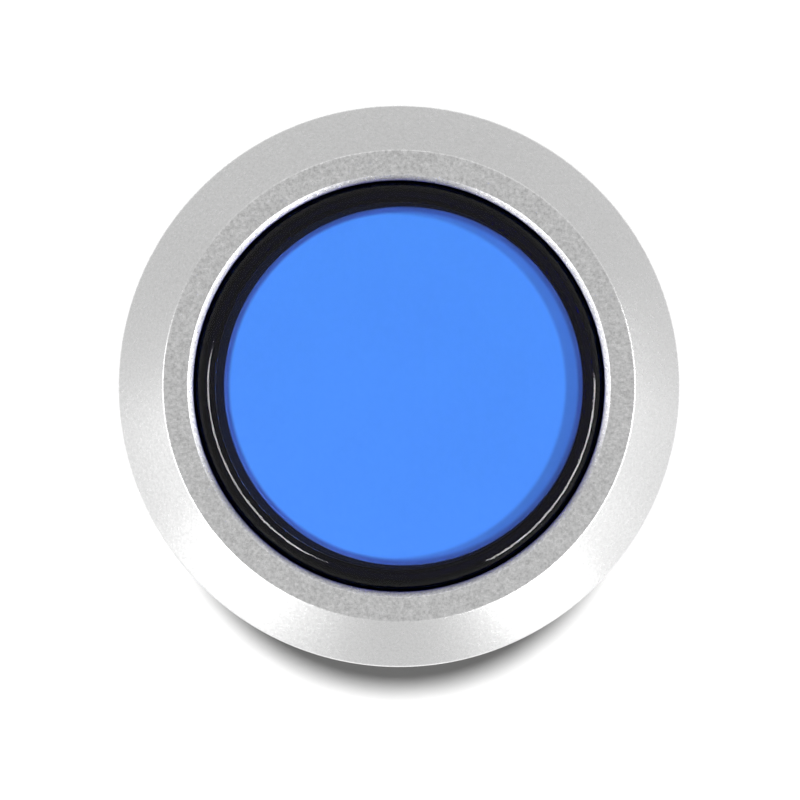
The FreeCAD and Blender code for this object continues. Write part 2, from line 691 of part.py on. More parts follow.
def build_switch_cover():
    """Upper half of the switch with the button's hole and two ears for the lever's pivot."""
    body = new_body("switch_cover", y="switch_shift")
    outside = middle_rectangle("0", "0", "switch_length / 2", "switch_thick / 2")
    block(body, "XY", [outside], PARTING, SWITCH_TOP)
    ease_edges(body, "Fillet", "cover_round", is_upright)
    cavity = middle_rectangle("0", "0", "(switch_length / 2 - cover_wall)",
                              "(switch_thick / 2 - cover_wall)")
    block(body, "XY", [cavity], PARTING, ROOF_LOW, cut=True)
    block(body, "XY", [(BUTTON_X, "0", "button_dia + 2 * slide_gap")], ROOF_LOW, SWITCH_TOP, cut=True)
    ear_in = "(lever_width / 2 + ear_gap)"
    ear_out = f"({ear_in} + ear_thick)"
    ear = rectangle(f"{PIVOT_X} - ear_half", f"{SWITCH_TOP} - cover_roof / 2",
                    f"{PIVOT_X} + ear_half", f"{PIVOT_Z} + ear_half")
    hole = (PIVOT_X, PIVOT_Z, "pivot_dia + 2 * pivot_gap")
    block(body, "XZ", [ear, hole], ear_in, ear_out)
    block(body, "XZ", [ear, hole], f"(-{ear_out})", f"(-{ear_in})")


def build_switch_lever():
    """Hinged strip with its pivot rod, resting at a slope."""
    body = new_body("switch_lever", x=PIVOT_X, y="switch_shift", z=PIVOT_Z)
    body.Placement.Rotation = Rotation(Vector(0, -1, 0), value("lever_angle"))
    body.setExpression("Placement.Rotation.Angle", bound("lever_angle"))
    rod = "(lever_width / 2 + ear_gap + ear_thick)"
    block(body, "XZ", [("0", "0", "pivot_dia")], f"(-{rod})", rod)
    strip = rectangle("-lever_tail", "lever_lift", "lever_length", "lever_lift + lever_thick")
    block(body, "XZ", [strip], "(-lever_width / 2)", "(lever_width / 2)")


def build_switch_button():
    """Switch's push pin, kept in by a collar under the cover's roof."""
    body = new_body("switch_button", x=BUTTON_X, y="switch_shift")
    turned(body, [
        ("0", BUTTON_TOP),
        ("button_tip / 2", BUTTON_TOP),
        ("button_dia / 2", f"{BUTTON_TOP} - button_slope"),
        ("button_dia / 2", f"{ROOF_LOW} - touch_gap"),
        ("button_collar / 2", f"{ROOF_LOW} - touch_gap"),
        ("button_collar / 2", f"{ROOF_LOW} - touch_gap - button_collar_thick"),
        ("button_stem / 2", f"{ROOF_LOW} - touch_gap - button_collar_thick"),
        ("button_stem / 2", f"{BLADE_TOP} + touch_gap"),
        ("0", f"{BLADE_TOP} + touch_gap"),
    ])


def switch_terminal(label, x, top):
    """Starts a switch terminal: a strip from its tab up to the given height."""
    body = new_body(label, x=x, y="switch_shift")
    block(body, "YZ", tab_outline("0", SWITCH_TAB_LOW, top), "(-tab_thick / 2)", "(tab_thick / 2)")
    return body


def build_switch_terminals():
    """Common terminal under the blade and two terminals whose arms carry the fixed contacts."""
    switch_terminal("terminal_common", f"-{OUTER_TAB_X}", BLADE_LOW)
    half_y = "tab_width / 2"
    opened = switch_terminal("terminal_normally_open", "open_tab_shift", OPEN_ARM_TOP)
    block(opened, "XY", [rectangle("-tab_thick / 2", f"-{half_y}",
                                   f"{CONTACT_X} + contact_dia / 2 - open_tab_shift", half_y)],
          OPEN_ARM_LOW, OPEN_ARM_TOP)
    closed = switch_terminal("terminal_normally_closed", OUTER_TAB_X, CLOSED_ARM_TOP)
    block(closed, "XY", [rectangle(f"{CONTACT_X} - contact_dia / 2 - {OUTER_TAB_X}", f"-{half_y}",
                                   "tab_thick / 2", half_y)],
          CLOSED_ARM_LOW, CLOSED_ARM_TOP)


def build_contacts():
    """Fixed contacts on the terminals' arms and the moving rivet between them."""
    upper = new_body("contact_normally_closed", x=CONTACT_X, y="switch_shift")
    block(upper, "XY", [("0", "0", "contact_dia")], CLOSED_CONTACT_LOW, CLOSED_ARM_LOW)
    lower = new_body("contact_normally_open", x=CONTACT_X, y="switch_shift")
    block(lower, "XY", [("0", "0", "contact_dia")], OPEN_ARM_TOP, OPEN_CONTACT_TOP)
    rivet = new_body("moving_contact", x=CONTACT_X, y="switch_shift")
    turned(rivet, [
        ("0", MOVING_TOP),
        ("contact_dia / 2", MOVING_TOP),
        ("contact_dia / 2", BLADE_TOP),
        ("contact_shank / 2", BLADE_TOP),
        ("contact_shank / 2", BLADE_LOW),
        ("contact_dia / 2", BLADE_LOW),
        ("contact_dia / 2", MOVING_LOW),
        ("0", MOVING_LOW),
    ])


def build_snap_blade():
    """Spring blade with a window and the bowed tongue that snaps it over."""
    body = new_body("snap_blade", y="switch_shift")
    left = f"-{OUTER_TAB_X} - tab_thick / 2 - blade_margin"
    window_left = f"-{OUTER_TAB_X} + tab_thick"
    window_right = f"({CONTACT_X} - window_inset)"
    rails = rectangle(left, "-blade_width / 2", f"{CONTACT_X} + contact_dia / 2", "blade_width / 2")
    window = rectangle(window_left, "-window_width / 2", window_right, "window_width / 2")
    rivet_hole = (CONTACT_X, "0", "contact_shank + 2 * fit_gap")
    block(body, "XY", [rails, window, rivet_hole], BLADE_LOW, BLADE_TOP)
    anchor = f"-{OUTER_TAB_X} + tab_thick / 2"
    sag_low = f"{BLADE_LOW} - tongue_sag"
    tongue = [
        (f"{window_right} + blade_thick", BLADE_TOP),
        (f"{window_right} + blade_thick", BLADE_LOW),
        ("blade_thick", sag_low),
        (anchor, f"{sag_low} + tongue_rise"),
        (anchor, f"{sag_low} + tongue_rise + blade_thick"),
        ("0", f"{sag_low} + blade_thick"),
        (window_right, BLADE_TOP),
    ]
    block(body, "XZ", [tongue], "(-tongue_width / 2)", "(tongue_width / 2)")


def export_parts():
    """Checks every object and writes each sub-part to its own file."""
    doc.recompute()
    for item in doc.Objects:
        if {"Invalid", "Error"} & set(item.State):
            raise RuntimeError(f"{item.Label} did not build: {item.State}")
    os.makedirs("parts", exist_ok=True)
    for body in parts:
        if body.Shape.isNull() or not body.Shape.isValid():
            raise RuntimeError(f"{body.Label} has no valid shape")
        body.Shape.exportStep(f"parts/{body.Label}.step")


fill_sheet()
build_bezel_ring()
build_barrel_housing()
build_ring_nut()
build_plunger_cap()
build_diffuser_disc()
build_plunger_carrier()
build_return_spring()
build_lamp_holder()
build_lamp_base()
build_led_lens()
build_lamp_leads()
build_lamp_resistor()
build_lamp_terminals()
build_switch_base()
build_switch_cover()
build_switch_lever()
build_switch_button()
build_switch_terminals()
build_contacts()
build_snap_blade()
export_parts()
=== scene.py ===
"""Looks of a round illuminated push button with a metal bezel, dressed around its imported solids."""
import cmath
import logging
import math
from collections.abc import Iterator, Sequence
from contextlib import contextmanager
from dataclasses import dataclass
from enum import Enum

import bpy
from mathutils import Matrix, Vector


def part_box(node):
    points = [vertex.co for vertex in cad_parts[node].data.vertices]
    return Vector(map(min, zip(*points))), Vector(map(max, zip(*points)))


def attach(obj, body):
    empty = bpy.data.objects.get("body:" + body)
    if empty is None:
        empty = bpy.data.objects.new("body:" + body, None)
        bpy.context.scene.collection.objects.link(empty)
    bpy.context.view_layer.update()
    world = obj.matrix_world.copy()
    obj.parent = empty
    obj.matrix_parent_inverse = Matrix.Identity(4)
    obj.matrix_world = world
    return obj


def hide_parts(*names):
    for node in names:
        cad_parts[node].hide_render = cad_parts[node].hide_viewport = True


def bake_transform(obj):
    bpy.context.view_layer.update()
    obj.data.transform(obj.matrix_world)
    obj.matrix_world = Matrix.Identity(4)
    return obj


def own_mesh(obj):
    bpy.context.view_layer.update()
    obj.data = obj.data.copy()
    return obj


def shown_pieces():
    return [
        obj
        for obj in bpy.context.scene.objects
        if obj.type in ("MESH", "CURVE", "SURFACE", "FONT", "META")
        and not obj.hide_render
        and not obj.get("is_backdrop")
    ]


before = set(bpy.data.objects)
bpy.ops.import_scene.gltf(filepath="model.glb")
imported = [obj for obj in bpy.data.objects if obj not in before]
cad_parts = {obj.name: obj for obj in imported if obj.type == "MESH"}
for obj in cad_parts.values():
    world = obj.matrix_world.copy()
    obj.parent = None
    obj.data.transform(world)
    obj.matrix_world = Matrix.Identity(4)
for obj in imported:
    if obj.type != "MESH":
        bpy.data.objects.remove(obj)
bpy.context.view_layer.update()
LOG = logging.getLogger("push_button")

MM = 0.001
WELD = 0.001 * MM
FLAT_ANGLE = math.radians(0.4)
EDGE_ANGLE = math.radians(32)
SMOOTH_ANGLE = math.radians(38)
CRISP_ANGLE = math.radians(18)
LATHE_STEPS = 224
ARC_STEPS = 8
NOISE_LOW = 0.3
NOISE_HIGH = 0.7

# Several sockets of a colour Mix node share a name, so they are taken by number.
MIX_FIRST = 6
MIX_SECOND = 7
MIX_RESULT = 2

Piece = bpy.types.Object
Node = bpy.types.Node
Socket = bpy.types.NodeSocket
Corner = tuple[float, float, float]
Colour = tuple[float, float, float]
Stretch = tuple[float, float, float]
Layer = Colour | Socket


class Body(Enum):
    """Bodies that pieces ride on."""

    HOUSING = "housing"
    PLUNGER = "plunger"
    LEVER = "lever"
    PIN = "pin"
    RIVET = "rivet"
    NUT = "nut"


class Slot(Enum):
    """Material slots of the record."""

    ALUMINIUM = "satin_aluminium"
    BLACK = "black_plastic"
    BLUE = "blue_clear_plastic"
    OPAL = "opal_plastic"
    NYLON = "white_nylon"
    RESIN = "clear_resin"
    STEEL = "spring_steel"
    BRASS = "tinned_brass"
    SILVER = "contact_silver"
    CERAMIC = "resistor_ceramic"


class Effect(Enum):
    """Shared surface effects, each a node group."""

    GRAIN = "fine_grain"
    CLOUD = "soft_cloud"
    DRAWN = "drawn_lines"


class Lit(Enum):
    """Groups of pieces that a lamp lights alone."""

    GROUND = "lit_ground"
    BUTTON = "lit_button"
    BEZEL = "lit_bezel"
    CAP = "lit_cap"


@dataclass(frozen=True)
class Noise:
    """Fineness of an effect's noise."""

    detail: float
    roughness: float


NOISES = {Effect.GRAIN: Noise(3, 0.7), Effect.CLOUD: Noise(2, 0.5), Effect.DRAWN: Noise(4, 0.6)}


def pick(piece: Piece) -> None:
    """Makes one piece the only selected object and the active one."""
    bpy.ops.object.select_all(action="DESELECT")
    piece.select_set(True)
    bpy.context.view_layer.objects.active = piece


@contextmanager
def editing(piece: Piece) -> Iterator[None]:
    """Opens a piece in edit mode with all of it selected, and leaves edit mode afterwards.

    Args:
        piece: The mesh object to edit.

    Returns:
        A context in which edit mode operators act on the piece.
    """
    pick(piece)
    bpy.ops.object.mode_set(mode="EDIT")
    bpy.ops.mesh.select_all(action="SELECT")
    yield
    bpy.ops.object.mode_set(mode="OBJECT")


def apply(piece: Piece, kind: str, **settings: object) -> None:
    """Adds a modifier to a piece, sets it up and applies it.

    Args:
        piece: The mesh object to change.
        kind: The modifier's type.
        **settings: The modifier's values by name.
    """
    pick(piece)
    modifier = piece.modifiers.new(kind.lower(), kind)
    for name, value in settings.items():
        setattr(modifier, name, value)
    bpy.ops.object.modifier_apply(modifier=modifier.name)


def rounded(corners: Sequence[Corner]) -> list[complex]:
    """Replaces each corner that has a radius by an arc.

    Args:
        corners: Radius from the axis, height and rounding of each corner in order.

    Returns:
        The outline's points, with the height as the imaginary part.
    """
    places = [complex(across, up) for across, up, _ in corners]
    points = []
    for number, (_, _, radius) in enumerate(corners):
        here = places[number]
        if not radius:
            points.append(here)
            continue
        back = places[number - 1] - here
        onward = places[(number + 1) % len(places)] - here
        back, onward = back / abs(back), onward / abs(onward)
        opening = cmath.phase(onward / back)
        half = abs(opening) / 2
        middle = here + (back + onward) / abs(back + onward) * radius / math.sin(half)
        start = here + back * radius / math.tan(half) - middle
        sweep = math.copysign(math.pi - 2 * half, -opening)
        angles = [sweep * step / ARC_STEPS for step in range(ARC_STEPS + 1)]
        points += [middle + start * cmath.rect(1, angle) for angle in angles]
    return points


def trace(name: str, points: Sequence[complex]) -> Piece:
    """Draws a line in the XZ plane by extruding one vertex from point to point.

    Args:
        name: The new piece's name.
        points: The line's points, with the height as the imaginary part.

    Returns:
        The piece that holds the line.
    """
    bpy.ops.object.select_all(action="DESELECT")
    bpy.ops.mesh.primitive_plane_add(size=MM)
    piece = bpy.context.object
    piece.name = piece.data.name = name
    with editing(piece):
        bpy.ops.mesh.merge(type="CENTER")
        bpy.ops.transform.translate(value=(points[0].real, 0, points[0].imag))
        for before, after in zip(points, points[1:]):
            step = after - before
            bpy.ops.mesh.extrude_region_move(TRANSFORM_OT_translate={"value": (step.real, 0, step.imag)})
        bpy.ops.mesh.select_all(action="SELECT")
        bpy.ops.mesh.remove_doubles(threshold=WELD)
    return piece


def close_up(piece: Piece) -> None:
    """Welds a swept piece's seams and turns its faces outwards."""
    with editing(piece):
        bpy.ops.mesh.remove_doubles(threshold=WELD)
        bpy.ops.mesh.normals_make_consistent(inside=False)


def lathe(name: str, corners: Sequence[Corner], steps: int = LATHE_STEPS) -> Piece:
    """Spins a half section about the Z axis.

    Args:
        name: The new piece's name.
        corners: Radius from the axis, height and rounding of each corner. Ends off the axis are
            joined up.
        steps: Number of facets round the axis.

    Returns:
        The closed solid.
    """
    points = rounded(corners)
    if points[0].real or points[-1].real:
        points.append(points[0])
    piece = trace(name, points)
    with editing(piece):
        bpy.ops.mesh.spin(steps=steps, angle=math.tau, center=(0, 0, 0), axis=(0, 0, 1))
    close_up(piece)
    return piece


def shift(piece: Piece, x: float = 0, y: float = 0, z: float = 0) -> None:
    """Moves a piece's mesh and leaves its object at the origin."""
    with editing(piece):
        bpy.ops.transform.translate(value=(x, y, z))


def helix(name: str, corners: Sequence[Corner], pitch: float, turns: int, steps: int) -> Piece:
    """Screws a closed section up the Z axis.

    Args:
        name: The new piece's name.
        corners: Radius from the axis, height and rounding of each corner of the section.
        pitch: Rise of one turn.
        turns: Number of turns.
        steps: Number of facets of one turn.

    Returns:
        The solid with its two ends closed.
    """
    points = rounded(corners)
    piece = trace(name, [*points, points[0]])
    apply(piece, "SCREW", axis="Z", angle=math.tau, screw_offset=pitch, iterations=turns, steps=steps,
          render_steps=steps)
    with editing(piece):
        bpy.ops.mesh.fill_holes(sides=0)
    close_up(piece)
    return piece


def combine(piece: Piece, tool: Piece, operation: str) -> None:
    """Cuts a tool out of a piece or adds it, and removes the tool."""
    apply(piece, "BOOLEAN", operation=operation, solver="EXACT", object=tool)
    bpy.data.objects.remove(tool)


def copy_node(node: str, name: str) -> Piece:
    """Copies a CAD node's mesh, welded and with its flat faces whole.

    Args:
        node: The CAD node's name.
        name: The new piece's name.

    Returns:
        The copy.
    """
    piece = bpy.data.objects.new(name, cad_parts[node].data.copy())
    piece.data.name = name
    bpy.context.scene.collection.objects.link(piece)
    piece.data.materials.clear()
    with editing(piece):
        bpy.ops.mesh.customdata_custom_splitnormals_clear()
        bpy.ops.mesh.remove_doubles(threshold=WELD)
        bpy.ops.mesh.dissolve_limited(angle_limit=FLAT_ANGLE)
    return piece


def soften(piece: Piece, width: float, segments: int = 2) -> None:
    """Rounds every sharp edge of a piece a little."""
    apply(piece, "BEVEL", width=width, segments=segments, limit_method="ANGLE", angle_limit=EDGE_ANGLE)


class Graph:
    """A node tree under construction."""

    def __init__(self, tree: bpy.types.NodeTree) -> None:
        """Keeps the tree that nodes are added to."""
        self.tree = tree

    def add(self, kind: str, **values: object) -> Node:
        """Adds a node.

        Args:
            kind: The node's type without its ShaderNode prefix.
            **values: Properties of the node by name.

        Returns:
            The new node.
        """
        node = self.tree.nodes.new(f"ShaderNode{kind}")
        for name, value in values.items():
            setattr(node, name, value)
        return node

    def link(self, source: Socket, *targets: Socket) -> None:
        """Links one output to inputs."""
        for target in targets:
            self.tree.links.new(source, target)

    def ramp(self, source: Socket, low: float, high: float) -> Socket:
        """Maps a mask from 0..1 to low..high and returns the result."""
        node = self.add("MapRange")
        node.inputs["To Min"].default_value = low
        node.inputs["To Max"].default_value = high
        self.link(source, node.inputs["Value"])
        return node.outputs["Result"]

    def blend(self, mask: Socket, first: Layer, second: Layer, kind: str = "MIX") -> Socket:
        """Mixes two colours, each plain or from a socket.

        Args:
            mask: How far the second colour covers the first.
            first: The colour below.
            second: The colour above.
            kind: The way in which the second colour covers the first.

        Returns:
            The mixed colour.
        """
        node = self.add("Mix", data_type="RGBA", blend_type=kind)
        self.link(mask, node.inputs["Factor"])
        for number, layer in ((MIX_FIRST, first), (MIX_SECOND, second)):
            if isinstance(layer, Socket):
                self.link(layer, node.inputs[number])
            else:
                node.inputs[number].default_value = (*layer, 1)
        return node.outputs[MIX_RESULT]

    def effect(self, effect: Effect, scale: float, stretch: Stretch = (1, 1, 1)) -> Socket:
        """Places a shared effect on the piece's own coordinates.

        Args:
            effect: Which effect to place.
            scale: Features in one metre.
            stretch: Scale of the pattern along each axis.

        Returns:
            The effect's mask.
        """
        node = self.add("Group", node_tree=effect_group(effect))
        node.inputs["Scale"].default_value = scale
        node.inputs["Stretch"].default_value = stretch
        self.link(self.add("TexCoord").outputs["Object"], node.inputs["Place"])
        return node.outputs["Mask"]

    def beyond(self, radius: float, blur: float, centre_x: float = 0) -> Socket:
        """Masks what lies outside an upright cylinder.

        Args:
            radius: Radius of the cylinder.
            blur: Half the width of the mask's soft edge.
            centre_x: Place of the cylinder's axis along X.

        Returns:
            A mask that is 1 outside and 0 inside.
        """
        centred = self.add("VectorMath", operation="SUBTRACT")
        centred.inputs[1].default_value = (centre_x, 0, 0)
        self.link(self.add("TexCoord").outputs["Object"], centred.inputs[0])
        flat = self.add("VectorMath", operation="MULTIPLY")
        flat.inputs[1].default_value = (1, 1, 0)
        self.link(centred.outputs["Vector"], flat.inputs[0])
        length = self.add("VectorMath", operation="LENGTH")
        self.link(flat.outputs["Vector"], length.inputs[0])
        edge = self.add("MapRange", interpolation_type="SMOOTHSTEP")
        edge.inputs["From Min"].default_value = radius - blur
        edge.inputs["From Max"].default_value = radius + blur
        self.link(length.outputs["Value"], edge.inputs["Value"])
        return edge.outputs["Result"]

    def bump(self, height: Socket, depth: float, shader: Node) -> None:
        """Presses a height mask into a shader's normal, with the depth in metres."""
        node = self.add("Bump")
        node.inputs["Strength"].default_value = 1
        node.inputs["Distance"].default_value = depth
        self.link(height, node.inputs["Height"])
        self.link(node.outputs["Normal"], shader.inputs["Normal"])


def effect_group(effect: Effect) -> bpy.types.NodeTree:
    """Builds a shared effect once.

    Args:
        effect: Which effect to build.

    Returns:
        The node group, with a Place, a Scale and a Stretch going in and a Mask coming out.
    """
    made = bpy.data.node_groups.get(effect.value)
    if made:
        return made
    made = bpy.data.node_groups.new(effect.value, "ShaderNodeTree")
    for name, kind in (("Place", "Vector"), ("Scale", "Float"), ("Stretch", "Vector")):
        made.interface.new_socket(name=name, in_out="INPUT", socket_type=f"NodeSocket{kind}")
    made.interface.new_socket(name="Mask", in_out="OUTPUT", socket_type="NodeSocketFloat")
    graph = Graph(made)
    entry = made.nodes.new("NodeGroupInput")
    leave = made.nodes.new("NodeGroupOutput")
    stretched = graph.add("VectorMath", operation="MULTIPLY")
    graph.link(entry.outputs["Place"], stretched.inputs[0])
    graph.link(entry.outputs["Stretch"], stretched.inputs[1])
    noise = graph.add("TexNoise")
    noise.inputs["Detail"].default_value = NOISES[effect].detail
    noise.inputs["Roughness"].default_value = NOISES[effect].roughness
    graph.link(stretched.outputs["Vector"], noise.inputs["Vector"])
    graph.link(entry.outputs["Scale"], noise.inputs["Scale"])
    spread = graph.add("MapRange")
    spread.inputs["From Min"].default_value = NOISE_LOW
    spread.inputs["From Max"].default_value = NOISE_HIGH
    graph.link(noise.outputs[0], spread.inputs["Value"])
    graph.link(spread.outputs["Result"], leave.inputs["Mask"])
    return made


@dataclass(frozen=True)
class Finish:
    """A surface finish that makes its material once."""

    name: str
    colour: Colour
    roughness: float

    def material(self) -> bpy.types.Material:
        """Returns the finish's material."""
        made = bpy.data.materials.get(self.name)
        if made is None:
            made = bpy.data.materials.new(self.name)
            made.use_nodes = True
            shader = made.node_tree.nodes["Principled BSDF"]
            shader.inputs["Base Color"].default_value = (*self.colour, 1)
            shader.inputs["Roughness"].default_value = self.roughness
            self.wire(Graph(made.node_tree), shader)
        return made

    def wire(self, graph: Graph, shader: Node) -> None:
        """Adds the finish's own nodes to a plain shader."""
        raise NotImplementedError

    def shade(self, factor: float) -> Colour:
        """Returns the finish's colour made lighter or darker."""
        return tuple(min(1.0, part * factor) for part in self.colour)

    def speckled(self, graph: Graph, mask: Socket, amount: float) -> Socket:
        """Returns the finish's colour, made darker to lighter by a mask."""
        return graph.blend(mask, self.shade(1 - amount), self.shade(1 + amount))

    def roughen(self, graph: Graph, shader: Node, mask: Socket, low: float, high: float) -> None:
        """Adds low to high to the finish's roughness by a mask."""
        rough = graph.ramp(mask, self.roughness + low, self.roughness + high)
        graph.link(rough, shader.inputs["Roughness"])


@dataclass(frozen=True)
class BlastedMetal(Finish):
    """Bead-blasted metal, with a coarser speckle on the ring inside a radius than outside it."""

    grain: float = 5500
    depth: float = 0.004 * MM
    face_radius: float = 13.8 * MM
    face_blur: float = 0.069 * MM
    face_speckle: float = 0.34
    flank_speckle: float = 0.12
    swing: float = 0.05

    def wire(self, graph: Graph, shader: Node) -> None:
        """Adds speckle to colour, roughness and normal."""
        shader.inputs["Metallic"].default_value = 1
        mask = graph.effect(Effect.GRAIN, self.grain)
        face = self.speckled(graph, mask, self.face_speckle)
        flank = self.speckled(graph, mask, self.flank_speckle)
        outside = graph.beyond(self.face_radius, self.face_blur)
        graph.link(graph.blend(outside, face, flank), shader.inputs["Base Color"])
        self.roughen(graph, shader, mask, self.swing, -self.swing)
        graph.bump(mask, self.depth, shader)


@dataclass(frozen=True)
class MouldedPlastic(Finish):
    """Moulded plastic with a fine spark-eroded grain and a faint cloudiness."""

    grain: float = 5000
    depth: float = 0.003 * MM
    cloud: float = 0.12
    cloud_scale: float = 300
    shine: float = 0.5
    swing: float = 0.08

    def wire(self, graph: Graph, shader: Node) -> None:
        """Adds grain to roughness and normal and clouds to the colour."""
        shader.inputs["Specular IOR Level"].default_value = self.shine
        cloud = graph.effect(Effect.CLOUD, self.cloud_scale)
        graph.link(self.speckled(graph, cloud, self.cloud), shader.inputs["Base Color"])
        grain = graph.effect(Effect.GRAIN, self.grain)
        self.roughen(graph, shader, grain, -self.swing, self.swing)
        graph.bump(grain, self.depth, shader)


@dataclass(frozen=True)
class DrawnMetal(Finish):
    """Drawn wire or rolled strip with fine lines along one axis."""

    stretch: Stretch = (1, 1, 1)
    grain: float = 2500
    depth: float = 0.002 * MM
    dark: float = 0.82
    light: float = 1.1
    smoother: float = -0.07
    rougher: float = 0.1

    def wire(self, graph: Graph, shader: Node) -> None:
        """Adds lines to colour, roughness and normal."""
        shader.inputs["Metallic"].default_value = 1
        lines = graph.effect(Effect.DRAWN, self.grain, self.stretch)
        tone = graph.blend(lines, self.shade(self.dark), self.shade(self.light))
        graph.link(tone, shader.inputs["Base Color"])
        self.roughen(graph, shader, lines, self.smoother, self.rougher)
        graph.bump(lines, self.depth, shader)


@dataclass(frozen=True)
class ClearTint(Finish):
    """Polished clear plastic whose tint deepens with its thickness."""

    density: float
    bend: float = 1.49
    gloss: float = 1
    haze: float = 0.5
    haze_scale: float = 700

    def wire(self, graph: Graph, shader: Node) -> None:
        """Makes the shader clear and adds faint handling haze and the tint inside."""
        shader.inputs["Base Color"].default_value = (1, 1, 1, 1)
        shader.inputs["Transmission Weight"].default_value = 1
        shader.inputs["IOR"].default_value = self.bend
        shader.inputs["Specular Tint"].default_value = (self.gloss,) * 3 + (1,)
        swing = self.roughness * self.haze
        self.roughen(graph, shader, graph.effect(Effect.CLOUD, self.haze_scale), -swing, swing)
        tint = graph.add("VolumeAbsorption")
        tint.inputs["Color"].default_value = (*self.colour, 1)
        tint.inputs["Density"].default_value = self.density
        graph.link(tint.outputs["Volume"], graph.tree.nodes["Material Output"].inputs["Volume"])


@dataclass(frozen=True)
class PaintedShade:
    """A round border beyond which the painted glow is darkened, a painted shade."""

    centre_x: float
    radius: float
    blur: float
    shade: float


@dataclass(frozen=True)
class LitOpal(Finish):
    """Opal plastic with a painted glow for the lamp's light from behind, with painted shade where its
    seat and its edge shade it.
    """

    painted_glow: Colour = (1, 1, 1)
    strength: float = 1
    painted_shades: tuple[PaintedShade, ...] = ()
    mottle: float = 0.96
    mottle_scale: float = 250
    grain: float = 2000
    dark: float = 0.94
    swing: float = 0.05

    def wire(self, graph: Graph, shader: Node) -> None:
        """Adds the painted glow, darkened by painted shade beyond each ring and faintly mottled."""
        dimmed = tuple(part * self.mottle for part in self.painted_glow)
        layer = graph.blend(graph.effect(Effect.CLOUD, self.mottle_scale), self.painted_glow, dimmed)
        # Each ring darkens the painted glow beyond it: painted shade of the seat and of the disc's edge.
        for painted_shade in self.painted_shades:
            outside = graph.beyond(painted_shade.radius, painted_shade.blur, painted_shade.centre_x)
            layer = graph.blend(outside, layer, (painted_shade.shade,) * 3, "MULTIPLY")
        # Painted glow: the emission stands in for the lamp's light shining through the disc.
        graph.link(layer, shader.inputs["Emission Color"])
        shader.inputs["Emission Strength"].default_value = self.strength
        grain = graph.effect(Effect.GRAIN, self.grain)
        graph.link(graph.blend(grain, self.shade(self.dark), self.colour), shader.inputs["Base Color"])
        self.roughen(graph, shader, grain, -self.swing, self.swing)


@dataclass(frozen=True)
class BandedLacquer(Finish):
    """Lacquered resistor body with painted bands across its length."""

    bands: tuple[Colour, ...] = ()
    band_width: float = 0.4 * MM
    band_pitch: float = 0.8 * MM
    cloud_scale: float = 1500
    dark: float = 0.88
    light: float = 1.1
    smoother: float = -0.05
    rougher: float = 0.08

    def wire(self, graph: Graph, shader: Node) -> None:
        """Adds the bands over a faintly mottled lacquer."""
        cloud = graph.effect(Effect.CLOUD, self.cloud_scale)
        layer = graph.blend(cloud, self.shade(self.dark), self.shade(self.light))
        split = graph.add("SeparateXYZ")
        graph.link(graph.add("TexCoord").outputs["Object"], split.inputs[0])
        first = -self.band_pitch * (len(self.bands) - 1) / 2
        for number, colour in enumerate(self.bands):
            near = graph.add("Math", operation="COMPARE")
            near.inputs[1].default_value = first + number * self.band_pitch
            near.inputs[2].default_value = self.band_width / 2
            graph.link(split.outputs["X"], near.inputs[0])
            layer = graph.blend(near.outputs["Value"], layer, colour)
        graph.link(layer, shader.inputs["Base Color"])
        self.roughen(graph, shader, cloud, self.smoother, self.rougher)


SATIN_ALUMINIUM = BlastedMetal("satin_aluminium_blasted", (0.84, 0.84, 0.84), 0.3)
BLACK_MOULDED = MouldedPlastic("black_moulded", (0.016, 0.016, 0.018), 0.42)
BLACK_SATIN = MouldedPlastic("black_satin", (0.02, 0.02, 0.022), 0.5, grain=3500, depth=0.006 * MM)
NYLON_MOULDED = MouldedPlastic("nylon_moulded", (0.74, 0.73, 0.68), 0.48, cloud=0.03)
BLACK_SMOOTH = MouldedPlastic(
    "black_smooth", (0.004, 0.004, 0.0045), 0.5, grain=900, depth=0, shine=0.1)
BLUE_CLEAR = ClearTint("blue_clear", (0.12, 0.4, 0.95), 0.03, density=700, bend=1.36, gloss=0.8)
CLEAR_RESIN = ClearTint("clear_resin_cast", (0.95, 0.97, 1.0), 0.04, density=20)
# The opal disc's emission is a painted glow for the lamp's light. Its first ring is painted shade where
# the seat below dims the glow, and its second is painted shade at the disc's edge.
LIT_OPAL = LitOpal(
    "lit_opal", (0.3, 0.33, 0.36), 0.5, painted_glow=(0.112, 0.445, 0.66), painted_shades=(
        PaintedShade(centre_x=-0.33 * MM, radius=10.08 * MM, blur=0.15 * MM, shade=0.47),
        PaintedShade(centre_x=0.27 * MM, radius=10.2 * MM, blur=0.14 * MM, shade=0.04)))
SPRING_WIRE = DrawnMetal("spring_wire", (0.56, 0.56, 0.57), 0.28, stretch=(1, 1, 4))
SPRING_STRIP = DrawnMetal("spring_strip", (0.62, 0.61, 0.59), 0.26, stretch=(0.06, 1, 1))
TINNED_STRIP = DrawnMetal("tinned_strip", (0.75, 0.72, 0.64), 0.3, stretch=(1, 1, 0.06))
CONTACT_SILVER = DrawnMetal("contact_silver_turned", (0.86, 0.85, 0.82), 0.22)
RESISTOR_LACQUER = BandedLacquer(
    "resistor_lacquer", (0.62, 0.47, 0.28), 0.35,
    bands=((0.25, 0.09, 0.03), (0.02, 0.02, 0.02), (0.5, 0.06, 0.02), (0.55, 0.4, 0.1)))
LED_DIE = MouldedPlastic("led_phosphor", (0.85, 0.75, 0.25), 0.4)
FLOOR_SHEET = MouldedPlastic("floor_sheet", (0.25, 0.25, 0.25), 0.9, grain=400, depth=0, cloud=0.01)


